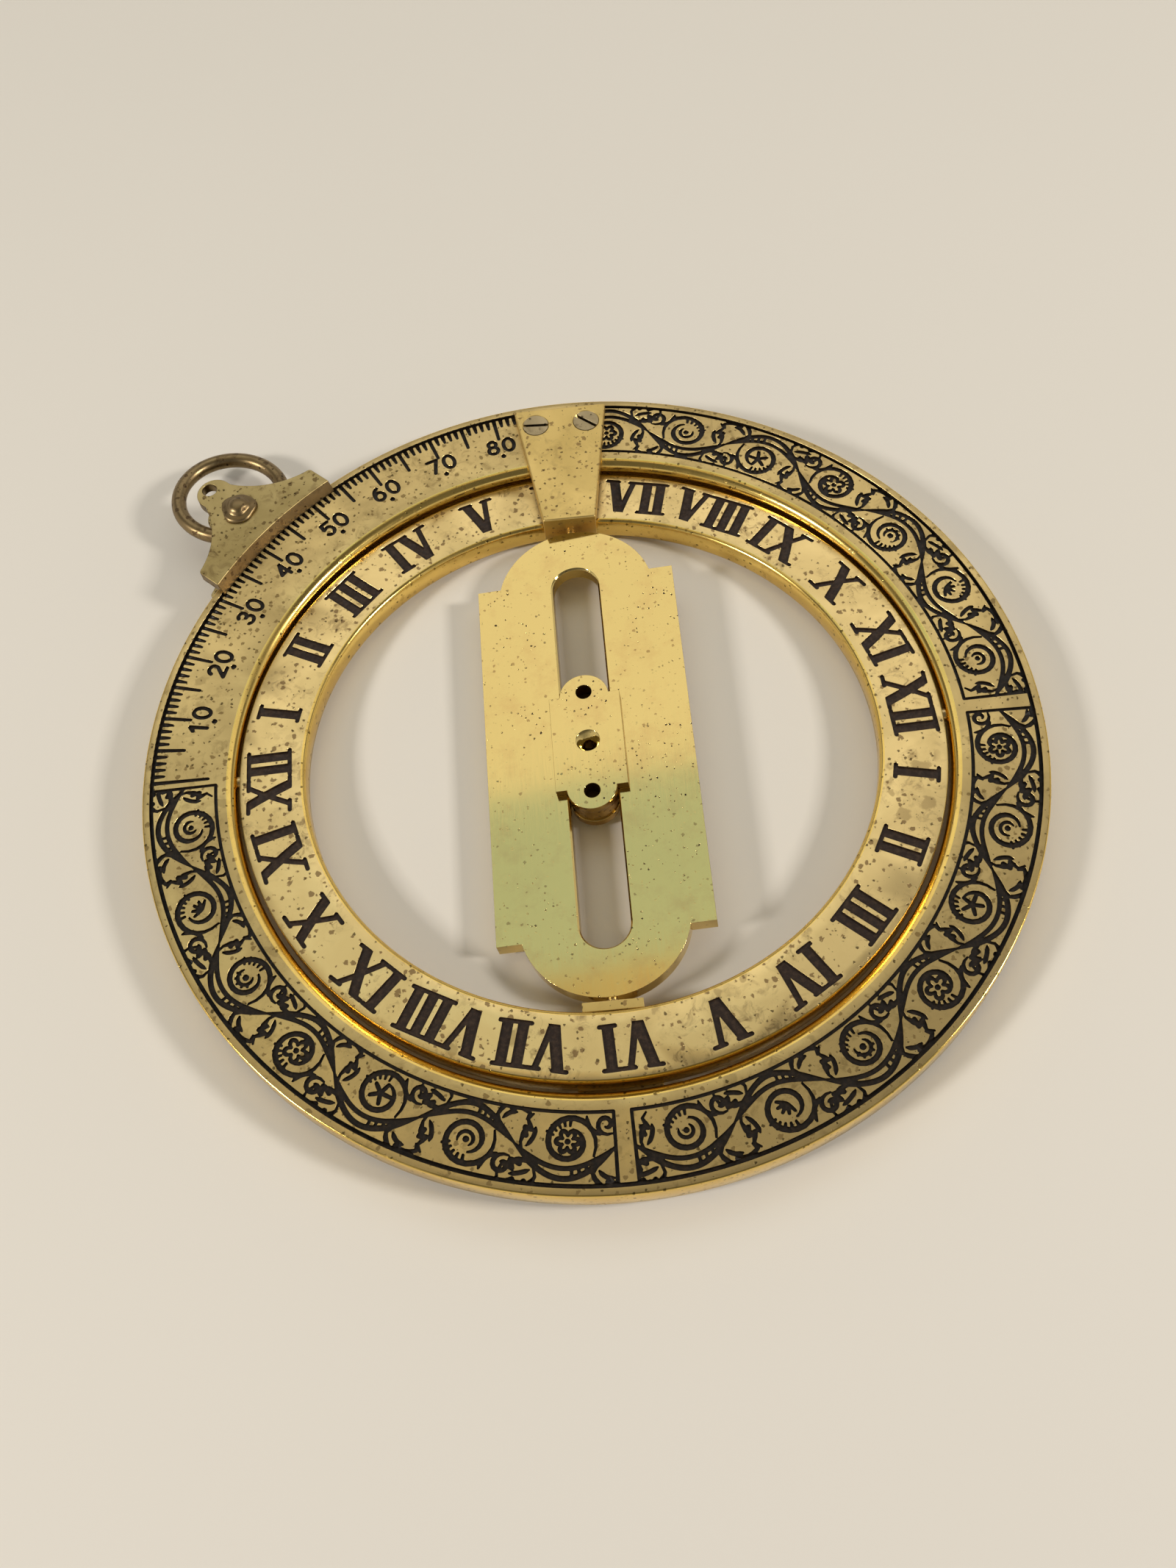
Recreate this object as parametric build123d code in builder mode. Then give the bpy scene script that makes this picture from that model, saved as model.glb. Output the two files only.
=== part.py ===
"""Universal ring sundial: a meridian ring, an hour ring that folds out of it, and a pierced
bridge that turns on the polar axis and carries a sliding pinhole cursor.

Frame: the origin is the common centre of both rings, on the polar axis and in the meridian
ring's middle plane. +Z is out of the engraved front, +Y runs along the polar axis to the
front tab, and +X is to the right. Everything is in millimetres, as the dial lies folded.
"""

import os
from math import asin, cos, hypot, radians, sin, sqrt

from build123d import *

os.makedirs("parts", exist_ok=True)

# ---- Meridian ring ----
ring_radius = 52.5
ring_bore_radius = 41.6
ring_thickness = 3.4
ring_bore_chamfer = 0.5
groove_inset = 1.1  # from the rim to the middle of the slot that the shackle's lips ride in
groove_width = 0.5
groove_depth = 0.5

# ---- Hour ring, hinged inside the meridian ring on the line through its two XIIs ----
hour_bore_radius = 33.4
hour_ring_gap = 0.5  # between the two rings
hour_thickness = 3.1
hour_bore_chamfer = 0.45
hour_ring_open = 2.2  # degrees that the ring stands open as it lies
hour_pin_radius = 0.8
hour_pin_reach = 3.0  # into the hour ring
hour_pin_sink = 0.2  # outer end below the rim

# ---- Pole tabs, one screwed to each face, which carry the bridge's two pins ----
tab_thickness = 1.5
tab_outer_width = 12.0
tab_end_width = 6.6
tab_groove_gap = 0.4  # from the tab's outer corners to the groove
tab_edge_round = 0.15
block_thickness = 1.1  # the tab's turned-down end, which holds the polar pin
block_bore_gap = 0.3  # from the block's corners to the hour ring's bore
block_below_pin = 1.0
tab_screw_spacing = 6.6
tab_screw_edge = 2.7  # from the tab's outer edge to the screws' line
tab_screw_radius = 1.0
tab_screw_head_radius = 1.75
tab_screw_reach = 2.3  # into the meridian ring
polar_pin_radius = 0.6
polar_pin_reach = 2.6  # into the bridge

# ---- Bridge ----
bridge_width = 24.4
bridge_thickness = 2.0
bridge_end_gap = 0.6  # from its rounded end to the tab's block
bridge_end_rise = 7.3  # the rounded end stands this far beyond the square shoulders
bridge_end_width = 18.7
bridge_turn = 4.6  # degrees that the bridge is turned as it lies, right side up
slot_width = 5.7
slot_end_wall = 5.7  # from the slot's end to the bridge's end
slot_chamfer = 0.2

# ---- Cursor: two plates screwed together through the slot, with the pinhole ----
cursor_width = 8.4
cursor_half_length = 9.0
cursor_end_rise = 2.75
cursor_end_width = 5.8
cursor_thickness = 1.1
cursor_block_half_length = 8.8
cursor_screw_spot = 6.65  # from the pinhole to each screw
cursor_screw_radius = 0.95
cursor_screw_head_radius = 1.5
cursor_screw_short = 1.0  # the screw's end stops this far under the front face
pinhole_radius = 0.6
pinhole_mouth_radius = 1.42

# ---- Shackle, which slides round the rim, and the ring the dial hangs from ----
shackle_angle = 137.5  # degrees from +X round to the shackle, near the 42 degree latitude mark
shackle_foot_half = 10.2
shackle_foot_reach = 1.7  # foot's outer corners beyond the rim
shackle_neck_half = 2.3
shackle_neck_start = 8.5  # beyond the rim
shackle_reach = 11.4  # its tip beyond the rim
shackle_sweep = 1.2  # how far the curve from foot to neck bends inwards
shackle_corner_round = 0.5
shackle_wall_slant = 0.7
shackle_eye_radius = 0.95
shackle_eye_wall = 0.4  # between the small eye and the tip
rivet_reach = 4.6  # beyond the rim
rivet_radius = 0.75
rivet_head_radius = 2.3
rivet_head_height = 1.3
rivet_flare_radius = 1.5
rivet_flare_depth = 0.8
wire_radius = 0.95
wire_ring_radius = 6.8
wire_swing = -24.0  # degrees that it lies swung round the rivet
wire_lift = 0.3  # of its near side above the middle plane
wire_droop = 1.0  # degrees that its far side hangs below the near side
wire_twist = 6.0  # degrees that it leans to one side

# ---- Fits ----
pin_clearance = 0.03  # radial, for a pin that turns in its hole
slide_gap = 0.05  # between faces that slide on each other
lip_gap = 0.08
wire_gap = 0.1
drill_point = 0.3  # a blind hole is this much deeper than what goes in it

# ---- Screw heads ----
screw_slot_width = 0.4
screw_slot_share = 0.6  # of the head's depth

# ---- Sizes that follow from these ----
groove_radius = ring_radius - groove_inset
hour_radius = ring_bore_radius - hour_ring_gap
ring_top = ring_thickness / 2
plate_top = ring_top + tab_thickness
tab_corner_radius = groove_radius - groove_width / 2 - tab_groove_gap
tab_outer = sqrt(tab_corner_radius**2 - (tab_outer_width / 2) ** 2)
block_outer = sqrt((hour_bore_radius - block_bore_gap) ** 2 - (tab_end_width / 2) ** 2)
tab_end = block_outer - block_thickness
bridge_half = tab_end - bridge_end_gap
slot_half = bridge_half - slot_end_wall
cursor_under = bridge_thickness / 2 + slide_gap
cursor_top = cursor_under + cursor_thickness
tab_screw_line = tab_outer - tab_screw_edge
rivet_spot = ring_radius + rivet_reach
wire_behind = rivet_radius + wire_gap + wire_radius  # from the rivet to the wire inside it


def turned_about_x(angle):
    """The dial's plane turned about the X axis, as the hour ring is."""
    a = radians(angle)
    return Plane(origin=(0, 0, 0), x_dir=(1, 0, 0), z_dir=(0, -sin(a), cos(a)))


def turned_about_y(angle):
    """The dial's plane turned about the polar axis, with its right side up."""
    a = radians(angle)
    return Plane(origin=(0, 0, 0), x_dir=(cos(a), 0, sin(a)), z_dir=(-sin(a), 0, cos(a)))


def turned_about_z(angle):
    """The dial's plane with its x direction turned to an angle round the rim."""
    a = radians(angle)
    return Plane(origin=(0, 0, 0), x_dir=(cos(a), sin(a), 0), z_dir=(0, 0, 1))


def save(part, name):
    """Labels one piece and writes it as its own file."""
    part.label = name
    export_step(part, f"parts/{name}.step")


# The back is the front turned over about X, so its y runs down to the south pole.
faces_of_dial = {
    "front": Plane.XY,
    "rear": Plane(origin=(0, 0, 0), x_dir=(1, 0, 0), z_dir=(0, 0, -1)),
}
hour_plane = turned_about_x(-hour_ring_open)
bridge_plane = turned_about_y(bridge_turn)
shackle_plane = turned_about_z(shackle_angle)


# ---- Meridian ring: turned from plate, with a slot near the rim on each face ----
groove_in = groove_radius - groove_width / 2
groove_out = groove_radius + groove_width / 2
groove_floor = ring_top - groove_depth
with BuildPart() as meridian_ring:
    with BuildSketch(Plane.XZ):
        with BuildLine():
            Polyline(
                (ring_bore_radius, -ring_top + ring_bore_chamfer),
                (ring_bore_radius, ring_top - ring_bore_chamfer),
                (ring_bore_radius + ring_bore_chamfer, ring_top),
                (groove_in, ring_top),
                (groove_in, groove_floor),
                (groove_out, groove_floor),
                (groove_out, ring_top),
                (ring_radius, ring_top),
                (ring_radius, -ring_top),
                (groove_out, -ring_top),
                (groove_out, -groove_floor),
                (groove_in, -groove_floor),
                (groove_in, -ring_top),
                (ring_bore_radius + ring_bore_chamfer, -ring_top),
                close=True,
            )
        make_face()
    revolve(axis=Axis.Z)
    # hinge holes for the hour ring, drilled through from the rim
    for side in (1, -1):
        with BuildSketch(Plane(origin=(side * (ring_bore_radius - 1), 0, 0), z_dir=(side, 0, 0))):
            Circle(hour_pin_radius)
        extrude(amount=ring_radius - ring_bore_radius + 2, mode=Mode.SUBTRACT)
    # blind tapped holes for the tab screws
    for face in faces_of_dial.values():
        with Locations(face.offset(ring_top)):
            with Locations((0, tab_screw_line)):
                with GridLocations(tab_screw_spacing, 1, 2, 1):
                    Hole(tab_screw_radius, depth=tab_screw_reach + drill_point)
save(meridian_ring.part, "meridian_ring")

# ---- Hour ring ----
with BuildPart() as hour_ring:
    with BuildSketch(hour_plane):
        Circle(hour_radius)
        Circle(hour_bore_radius, mode=Mode.SUBTRACT)
    extrude(amount=hour_thickness / 2, both=True)
    bore_edges = hour_ring.edges().filter_by(GeomType.CIRCLE).group_by(SortBy.RADIUS)[0]
    chamfer(bore_edges, hour_bore_chamfer)
    for side in (1, -1):
        hole_start = hour_radius - hour_pin_reach - drill_point
        with BuildSketch(Plane(origin=(side * hole_start, 0, 0), z_dir=(side, 0, 0))):
            Circle(hour_pin_radius + pin_clearance)
        extrude(amount=hour_pin_reach + drill_point + 1, mode=Mode.SUBTRACT)
save(hour_ring.part, "hour_ring")

# ---- Hour ring's hinge pins, driven in through the rim ----
for name, side in (("west_hour_pin", -1), ("east_hour_pin", 1)):
    pin_start = hour_radius - hour_pin_reach
    with BuildPart() as hour_pin:
        with BuildSketch(Plane(origin=(side * pin_start, 0, 0), z_dir=(side, 0, 0))):
            Circle(hour_pin_radius)
        extrude(amount=ring_radius - hour_pin_sink - pin_start)
    save(hour_pin.part, name)

# ---- Pole tabs: a tapered plate with its inner end turned down to hold the polar pin ----
for name, face in faces_of_dial.items():
    with BuildPart() as tab:
        with BuildSketch(face.offset(ring_top)):
            with BuildLine():
                Polyline(
                    (-tab_outer_width / 2, tab_outer),
                    (tab_outer_width / 2, tab_outer),
                    (tab_end_width / 2, tab_end),
                    (-tab_end_width / 2, tab_end),
                    close=True,
                )
            make_face()
        extrude(amount=tab_thickness)
        plate_face = tab.faces().sort_by(Axis((0, 0, 0), face.z_dir))[-1]
        chamfer(plate_face.edges(), tab_edge_round)
        with BuildSketch(face.offset(ring_top)):
            with Locations((0, tab_end + block_thickness / 2)):
                Rectangle(tab_end_width, block_thickness)
        extrude(amount=-ring_top - polar_pin_radius - block_below_pin)
        with BuildSketch(Plane(origin=face.y_dir * (tab_end - 1), z_dir=face.y_dir)):
            Circle(polar_pin_radius)
        extrude(amount=block_thickness + 2, mode=Mode.SUBTRACT)
        with Locations(face.offset(plate_top)):
            with Locations((0, tab_screw_line)):
                with GridLocations(tab_screw_spacing, 1, 2, 1):
                    CounterSinkHole(
                        tab_screw_radius, tab_screw_head_radius, counter_sink_angle=90
                    )
    save(tab.part, f"{name}_pole_tab")


# ---- Slotted countersunk screws ----
def slotted_screw(head_face, head_radius, radius, length, slot_angle):
    """A screw whose head is flush with the plane and whose shank runs down from it."""
    head_depth = head_radius - radius
    half_section = Plane(origin=head_face.origin, x_dir=head_face.x_dir, z_dir=head_face.y_dir)
    with BuildPart() as screw:
        with BuildSketch(half_section):
            with BuildLine():
                Polyline(
                    (0, 0),
                    (head_radius, 0),
                    (radius, head_depth),
                    (radius, length),
                    (0, length),
                    close=True,
                )
            make_face()
        revolve(axis=Axis(head_face.origin, head_face.z_dir))
        with BuildSketch(head_face):
            Rectangle(3 * head_radius, screw_slot_width, rotation=slot_angle)
        extrude(amount=-screw_slot_share * head_depth, mode=Mode.SUBTRACT)
    return screw.part


def at_spot(plane, x, y):
    """The same plane with its origin moved to a spot on it."""
    return Plane(origin=plane.from_local_coords((x, y, 0)), x_dir=plane.x_dir, z_dir=plane.z_dir)


tab_screw_slots = {"front": (-4, -40), "rear": (20, 65)}  # degrees, as they were left
for name, face in faces_of_dial.items():
    for side, way, slot_angle in zip(("left", "right"), (-1, 1), tab_screw_slots[name]):
        screw = slotted_screw(
            at_spot(face.offset(plate_top), way * tab_screw_spacing / 2, tab_screw_line),
            tab_screw_head_radius,
            tab_screw_radius,
            tab_thickness + tab_screw_reach,
            slot_angle,
        )
        save(screw, f"{name}_tab_screw_{side}")

# ---- Polar pins, pressed into the tabs' turned-down ends ----
for name, way in (("north_polar_pin", 1), ("south_polar_pin", -1)):
    pin_start = bridge_half - polar_pin_reach
    with BuildPart() as polar_pin:
        with BuildSketch(Plane(origin=(0, way * pin_start, 0), z_dir=(0, way, 0))):
            Circle(polar_pin_radius)
        extrude(amount=block_outer - pin_start)
    save(polar_pin.part, name)


# ---- Bridge ----
def cartouche(width, half_length, end_width, end_rise):
    """A plate outline with square shoulders and a narrower rounded end above and below."""
    shoulder = half_length - end_rise
    w, e = width / 2, end_width / 2
    with BuildSketch() as outline:
        with BuildLine():
            Line((-e, shoulder), (-w, shoulder))
            Line((-w, shoulder), (-w, -shoulder))
            Line((-w, -shoulder), (-e, -shoulder))
            ThreePointArc((-e, -shoulder), (0, -half_length), (e, -shoulder))
            Line((e, -shoulder), (w, -shoulder))
            Line((w, -shoulder), (w, shoulder))
            Line((w, shoulder), (e, shoulder))
            ThreePointArc((e, shoulder), (0, half_length), (-e, shoulder))
        make_face()
    return outline.sketch


bridge_outline = cartouche(bridge_width, bridge_half, bridge_end_width, bridge_end_rise)
with BuildPart() as bridge:
    with BuildSketch(bridge_plane):
        add(bridge_outline)
        SlotOverall(2 * slot_half, slot_width, rotation=90, mode=Mode.SUBTRACT)
    extrude(amount=bridge_thickness / 2, both=True)
    bridge_faces = bridge.faces().sort_by(Axis((0, 0, 0), bridge_plane.z_dir))
    for flat in (bridge_faces[0], bridge_faces[-1]):
        chamfer(flat.inner_wires()[0].edges(), slot_chamfer)
    for way in (1, -1):
        with BuildSketch(Plane(origin=(0, way * (bridge_half + 1), 0), z_dir=(0, -way, 0))):
            Circle(polar_pin_radius + pin_clearance)
        extrude(amount=polar_pin_reach + drill_point + 1, mode=Mode.SUBTRACT)
save(bridge.part, "bridge")

# ---- Cursor: the front plate has a block that fills the slot, the back plate closes it ----
cursor_outline = cartouche(cursor_width, cursor_half_length, cursor_end_width, cursor_end_rise)
cursor_back = Plane(
    origin=bridge_plane.offset(-cursor_top).origin,
    x_dir=bridge_plane.x_dir,
    z_dir=-bridge_plane.z_dir,
)
with BuildPart() as cursor_front_plate:
    with BuildSketch(bridge_plane.offset(cursor_under)):
        add(cursor_outline)
    extrude(amount=cursor_thickness)
    with BuildSketch(bridge_plane.offset(cursor_under)):
        SlotOverall(2 * cursor_block_half_length, slot_width - 2 * slide_gap, rotation=90)
    extrude(amount=-2 * cursor_under)
    with Locations(bridge_plane.offset(cursor_top)):
        CounterSinkHole(pinhole_radius, pinhole_mouth_radius, counter_sink_angle=82)
        with GridLocations(1, 2 * cursor_screw_spot, 1, 2):
            Hole(cursor_screw_radius)
save(cursor_front_plate.part, "cursor_front_plate")

with BuildPart() as cursor_back_plate:
    with BuildSketch(cursor_back):
        add(cursor_outline)
    extrude(amount=-cursor_thickness)
    with Locations(cursor_back):
        CounterSinkHole(pinhole_radius, pinhole_mouth_radius, counter_sink_angle=82)
        with GridLocations(1, 2 * cursor_screw_spot, 1, 2):
            CounterSinkHole(cursor_screw_radius, cursor_screw_head_radius, counter_sink_angle=90)
save(cursor_back_plate.part, "cursor_back_plate")

for name, way, slot_angle in (("upper", -1, 15), ("lower", 1, -50)):
    screw = slotted_screw(
        at_spot(cursor_back, 0, way * cursor_screw_spot),
        cursor_screw_head_radius,
        cursor_screw_radius,
        2 * cursor_top - cursor_screw_short,
        slot_angle,
    )
    save(screw, f"cursor_screw_{name}")

# ---- Shackle: two bell-shaped halves whose lips ride in the rim slots ----
foot = ring_radius + shackle_foot_reach
neck = ring_radius + shackle_neck_start
tip = ring_radius + shackle_reach
tip_start = tip - shackle_neck_half
eye_spot = tip - shackle_eye_wall - shackle_eye_radius
shackle_inside = ring_bore_radius
curve_chord = hypot(neck - foot, shackle_foot_half - shackle_neck_half)
curve_middle = (
    (foot + neck) / 2 - (shackle_foot_half - shackle_neck_half) / curve_chord * shackle_sweep,
    (shackle_foot_half + shackle_neck_half) / 2 - (neck - foot) / curve_chord * shackle_sweep,
)
with BuildSketch(shackle_plane) as shackle_outline:
    with BuildLine():
        for side in (1, -1):
            Line((shackle_inside, 0), (shackle_inside, side * shackle_foot_half))
            Line((shackle_inside, side * shackle_foot_half), (foot, side * shackle_foot_half))
            ThreePointArc(
                (foot, side * shackle_foot_half),
                (curve_middle[0], side * curve_middle[1]),
                (neck, side * shackle_neck_half),
            )
            Line((neck, side * shackle_neck_half), (tip_start, side * shackle_neck_half))
        ThreePointArc(
            (tip_start, -shackle_neck_half), (tip, 0), (tip_start, shackle_neck_half)
        )
    make_face()
    feet = shackle_outline.vertices().filter_by(
        lambda v: abs(hypot(v.X, v.Y) - hypot(foot, shackle_foot_half)) < 0.01
    )
    fillet(feet, shackle_corner_round)

lip_in = groove_radius - groove_width / 2 + lip_gap
lip_out = groove_radius + groove_width / 2 - lip_gap
lip_end = ring_top - groove_depth + lip_gap
shackle_under = ring_top + slide_gap
rivet_section = Plane(
    origin=shackle_plane.from_local_coords((rivet_spot, 0, 0)),
    x_dir=shackle_plane.x_dir,
    z_dir=-shackle_plane.y_dir,
)
rivet_axis = Axis(rivet_section.origin, (0, 0, 1))
for name, way in (("front", 1), ("rear", -1)):
    with BuildPart() as shackle_half:
        with BuildSketch(Plane.XZ):
            with BuildLine():
                Polyline(
                    (lip_in, way * lip_end),
                    (lip_out, way * lip_end),
                    (lip_out, way * shackle_under),
                    (tip + 1, way * shackle_under),
                    (tip + 1, way * plate_top),
                    (lip_in + shackle_wall_slant, way * plate_top),
                    (lip_in, way * shackle_under),
                    close=True,
                )
            make_face()
        revolve(axis=Axis.Z)
        add(shackle_outline.sketch)
        extrude(amount=2 * plate_top, both=True, mode=Mode.INTERSECT)
        with Locations(shackle_plane.offset(2 * plate_top)):
            with Locations((rivet_spot, 0)):
                Hole(rivet_radius + pin_clearance)
            with Locations((eye_spot, 0)):
                Hole(shackle_eye_radius)
        if name == "rear":
            # countersunk for the rivet's peened end
            with BuildSketch(rivet_section):
                with BuildLine():
                    Polyline(
                        (0, -plate_top),
                        (rivet_flare_radius + pin_clearance, -plate_top),
                        (rivet_radius + pin_clearance, rivet_flare_depth - plate_top),
                        (0, rivet_flare_depth - plate_top),
                        close=True,
                    )
                make_face()
            revolve(axis=rivet_axis, mode=Mode.SUBTRACT)
    save(shackle_half.part, f"shackle_{name}")

# ---- Rivet through the shackle: a domed head in front, peened flush behind ----
head_under = plate_top + pin_clearance
dome_radius = (rivet_head_radius**2 + rivet_head_height**2) / (2 * rivet_head_height)
dome_centre = head_under + rivet_head_height - dome_radius
dome_half_angle = asin(rivet_head_radius / dome_radius) / 2
with BuildPart() as shackle_rivet:
    with BuildSketch(rivet_section):
        with BuildLine():
            Polyline(
                (0, head_under + rivet_head_height),
                (0, -plate_top),
                (rivet_flare_radius, -plate_top),
                (rivet_radius, rivet_flare_depth - plate_top),
                (rivet_radius, head_under),
                (rivet_head_radius, head_under),
            )
            ThreePointArc(
                (rivet_head_radius, head_under),
                (dome_radius * sin(dome_half_angle), dome_centre + dome_radius * cos(dome_half_angle)),
                (0, head_under + rivet_head_height),
            )
        make_face()
    revolve(axis=rivet_axis)
save(shackle_rivet.part, "shackle_rivet")

# ---- Suspension ring: bent wire, hanging on the rivet between the shackle's halves ----
droop = radians(wire_droop)
twist = radians(wire_twist)
swing_plane = turned_about_z(shackle_angle + wire_swing)
outwards = swing_plane.x_dir * cos(droop) - swing_plane.z_dir * sin(droop)
upright = swing_plane.x_dir * sin(droop) + swing_plane.z_dir * cos(droop)
wire_near = (
    shackle_plane.from_local_coords((rivet_spot, 0, wire_lift)) - swing_plane.x_dir * wire_behind
)
wire_plane = Plane(
    origin=wire_near + outwards * wire_ring_radius,
    x_dir=outwards,
    z_dir=upright * cos(twist) - swing_plane.y_dir * sin(twist),
)
with BuildPart() as suspension_ring:
    with Locations(wire_plane):
        Torus(wire_ring_radius, wire_radius)
save(suspension_ring.part, "suspension_ring")
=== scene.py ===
"""Universal ring sundial, lying folded on a table. Built in the order it is put together."""

from math import ceil, cos, floor, hypot, pi, radians, sin

import bmesh
import bpy
import numpy as np
from mathutils import Matrix, Vector
from mathutils.geometry import delaunay_2d_cdt


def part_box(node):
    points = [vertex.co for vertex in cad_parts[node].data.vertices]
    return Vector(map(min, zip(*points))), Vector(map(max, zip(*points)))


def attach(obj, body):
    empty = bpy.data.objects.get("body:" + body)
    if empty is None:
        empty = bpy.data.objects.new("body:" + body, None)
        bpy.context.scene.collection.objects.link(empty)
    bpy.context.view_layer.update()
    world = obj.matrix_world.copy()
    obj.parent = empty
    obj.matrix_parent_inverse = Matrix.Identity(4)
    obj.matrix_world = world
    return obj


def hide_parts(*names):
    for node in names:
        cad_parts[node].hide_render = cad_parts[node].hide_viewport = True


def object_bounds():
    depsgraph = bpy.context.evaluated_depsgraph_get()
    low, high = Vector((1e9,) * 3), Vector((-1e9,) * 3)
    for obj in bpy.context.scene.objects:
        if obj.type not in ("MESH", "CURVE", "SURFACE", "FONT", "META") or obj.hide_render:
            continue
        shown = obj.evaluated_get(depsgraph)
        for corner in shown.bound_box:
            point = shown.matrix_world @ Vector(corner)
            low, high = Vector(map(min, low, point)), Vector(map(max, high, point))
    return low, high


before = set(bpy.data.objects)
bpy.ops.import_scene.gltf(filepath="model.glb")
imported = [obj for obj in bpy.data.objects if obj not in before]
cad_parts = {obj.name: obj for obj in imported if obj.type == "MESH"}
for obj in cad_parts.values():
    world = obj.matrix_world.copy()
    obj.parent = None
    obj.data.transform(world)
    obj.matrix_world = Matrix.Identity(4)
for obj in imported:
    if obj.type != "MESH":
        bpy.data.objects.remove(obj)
cad_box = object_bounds()
MM = 0.001  # the dial's sizes below are in millimetres

# ---- Table, camera and light ----
# The dial lies on its back on smooth warm white paper, under a soft ceiling light and a small
# light from each side. The camera stands south of it and high up, a little turned.
paper_half = 900.0
paper_corners = ((-1, -1), (1, -1), (1, 1), (-1, 1))
paper_mesh = bpy.data.meshes.new("paper")
paper_mesh.from_pydata(
    [(x * paper_half * MM, y * paper_half * MM, cad_box[0].z) for x, y in paper_corners],
    [],
    [(0, 1, 2, 3)],
)
paper = bpy.data.objects.new("paper", paper_mesh)
bpy.context.scene.collection.objects.link(paper)


class Nodes:
    """A material's node graph, wired a line at a time."""

    def __init__(self, name):
        self.material = bpy.data.materials.new(name)
        self.material.use_nodes = True
        self.tree = self.material.node_tree
        self.shader = self.tree.nodes["Principled BSDF"]
        self.place = self.add("ShaderNodeTexCoord").outputs["Object"]

    def add(self, kind, values=(), **settings):
        node = self.tree.nodes.new(kind)
        for key, value in settings.items():
            setattr(node, key, value)
        for key, value in dict(values).items():
            if isinstance(value, bpy.types.NodeSocket):
                self.tree.links.new(value, node.inputs[key])
            else:
                node.inputs[key].default_value = value
        return node

    def noise(self, size, detail=4.0, rough=0.55, twist=0.0, place=None):
        """Cloudy pattern from 0 to 1, whose clouds are about size mm across."""
        values = {
            "Vector": place or self.place,
            "Scale": 1 / (size * MM),
            "Detail": detail,
            "Roughness": rough,
            "Distortion": twist,
        }
        return self.add("ShaderNodeTexNoise", values).outputs["Fac"]

    def math(self, way, first, second):
        return self.add("ShaderNodeMath", {0: first, 1: second}, operation=way).outputs[0]

    def spots(self, spacing, widest, few):
        """Ragged spots, 1 inside and 0 outside, spacing mm apart and up to widest mm across.

        The higher few is, the fewer of them come near that size.
        """
        ragged = self.add(
            "ShaderNodeTexNoise",
            {"Vector": self.place, "Scale": 1.8 / (widest * MM), "Detail": 4.0},
        )
        stray = (0.9 * widest * MM,) * 3
        moved = self.add(
            "ShaderNodeVectorMath",
            {0: ragged.outputs["Color"], 1: stray, 2: self.place},
            operation="MULTIPLY_ADD",
        )
        cells = self.add(
            "ShaderNodeTexVoronoi",
            {"Vector": moved.outputs["Vector"], "Scale": 1 / (spacing * MM)},
        )
        cell_colour = self.add("ShaderNodeSeparateColor", {"Color": cells.outputs["Color"]})
        size = self.math("POWER", cell_colour.outputs["Red"], few)
        reach = self.math("MULTIPLY", size, widest / 2 / spacing)
        inside = self.math("SUBTRACT", reach, cells.outputs["Distance"])
        return self.ramp(inside, ((0.0, 0.0), (0.07, 1.0)))

    def ramp(self, amount, stops):
        """Follows amount through grey or colour stops, given as (spot, value) pairs."""
        node = self.add("ShaderNodeValToRGB", {"Fac": amount})
        elements = node.color_ramp.elements
        while len(elements) < len(stops):
            elements.new(0.5)
        for element, (spot, value) in zip(elements, stops):
            element.position = spot
            element.color = (*value, 1) if isinstance(value, tuple) else (value, value, value, 1)
        return node.outputs["Color"]

    def blend(self, amount, first, second, way="MIX"):
        """Mixes two colours or patterns by amount, 0 for all first and 1 for all second."""
        node = self.add("ShaderNodeMix", data_type="RGBA", blend_type=way)
        for key, value in ((0, amount), (6, first), (7, second)):
            if isinstance(value, bpy.types.NodeSocket):
                self.tree.links.new(value, node.inputs[key])
            elif isinstance(value, tuple):
                node.inputs[key].default_value = (*value, 1)
            else:
                node.inputs[key].default_value = value
        return node.outputs[2]

    def bump(self, height, depth, strength, under=None):
        """Turns a height pattern into bumps that are depth mm high."""
        values = {"Height": height, "Distance": depth * MM, "Strength": strength}
        if under:
            values["Normal"] = under
        return self.add("ShaderNodeBump", values).outputs["Normal"]

    def finish(self, **sockets):
        """Sets the shader's own sockets, named with _ for a space, and returns the material."""
        for key, value in sockets.items():
            socket = self.shader.inputs[key.replace("_", " ")]
            if isinstance(value, bpy.types.NodeSocket):
                self.tree.links.new(value, socket)
            else:
                socket.default_value = (*value, 1) if isinstance(value, tuple) else value
        return self.material


stock = Nodes("paper_white")
fibre = stock.noise(3.0, detail=6.0)
paper_tint = stock.blend(stock.noise(180.0, detail=2.0), (0.79, 0.755, 0.68), (0.83, 0.79, 0.72))
paper_mesh.materials.append(
    stock.finish(Base_Color=paper_tint, Roughness=0.62, Normal=stock.bump(fibre, 0.03, 0.35))
)

camera_height = radians(61.2)  # above the paper, seen from the dial's centre
camera_turn = radians(1.82)
camera_roll = radians(7.09)
camera_distance = 174.5
dial_off_centre = (0.17, -4.9)  # of the dial's middle from the view's middle, right and down
ring_top = 1.7  # the thick ring's face, above the dial's middle plane
ahead = Vector(
    (
        -sin(camera_turn) * cos(camera_height),
        cos(camera_turn) * cos(camera_height),
        -sin(camera_height),
    )
)
level_right = Vector((cos(camera_turn), sin(camera_turn), 0))
level_down = ahead.cross(level_right)
right = cos(camera_roll) * level_right + sin(camera_roll) * level_down
down = -sin(camera_roll) * level_right + cos(camera_roll) * level_down
camera_data = bpy.data.cameras.new("camera")
camera_data.sensor_width = 36.0
camera_data.lens = 34.42
camera_data.clip_start = 0.01
camera = bpy.data.objects.new("camera", camera_data)
bpy.context.scene.collection.objects.link(camera)
camera.matrix_world = Matrix((right, -down, -ahead)).transposed().to_4x4()
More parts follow.
